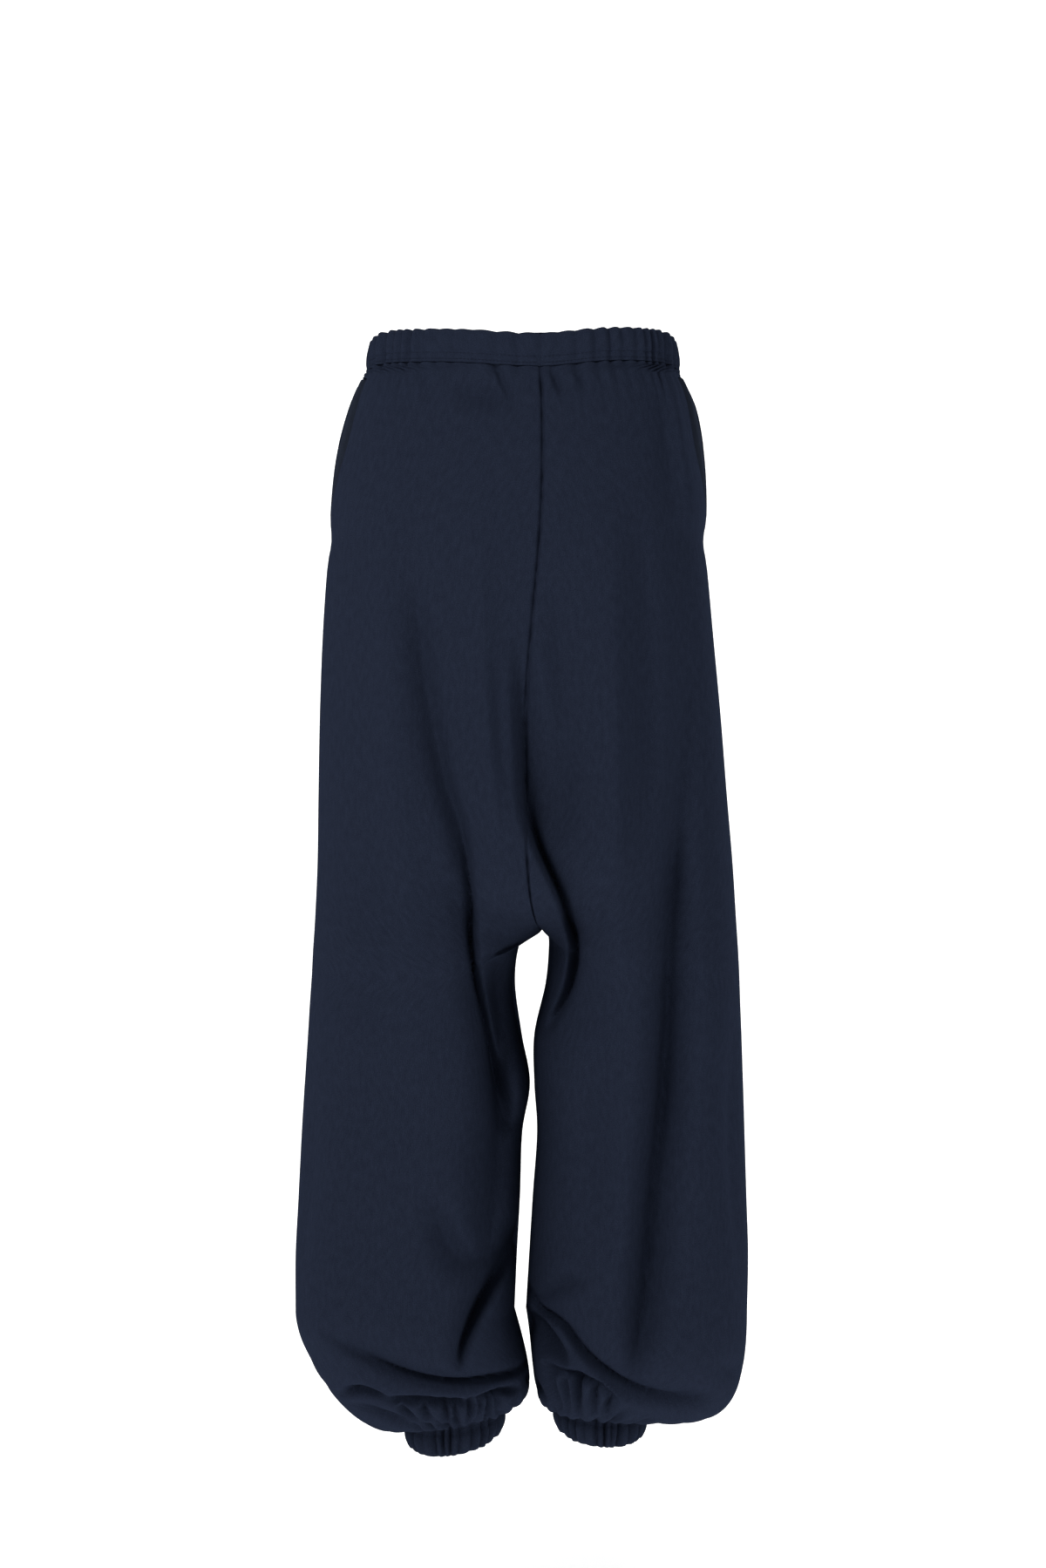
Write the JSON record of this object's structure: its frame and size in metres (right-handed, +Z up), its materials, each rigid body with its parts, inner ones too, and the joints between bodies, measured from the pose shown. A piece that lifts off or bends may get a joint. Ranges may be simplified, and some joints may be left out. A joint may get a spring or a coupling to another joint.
{
  "type": "harem pants",
  "caption": "Dropped-crotch sweatpants in worn form: gathered elastic waistband, open side-seam pockets, wide legs ballooning over gathered ankle cuffs.",
  "frame": {"origin": "centre of the waistband ring at its middle height, where the wearer's waist holds the garment up", "axes": "+Z up along the body, the front of the garment faces -Y, the wearer's left is +X"},
  "size_m": [0.404, 0.2594, 0.9955],
  "materials": {
    "fleece": "matte navy sweatshirt cotton",
    "casing": "matte navy cotton gathered on elastic",
    "pocket_cloth": "matte dark navy jersey"
  },
  "bodies": {
    "root": {"back_left": "fleece", "back_right": "fleece", "front_left": "fleece", "front_right": "fleece", "waistband_left": "casing", "waistband_right": "casing", "cuff_left": "casing", "cuff_right": "casing", "pocket_left": "pocket_cloth", "pocket_right": "pocket_cloth"}
  },
  "joints": []
}
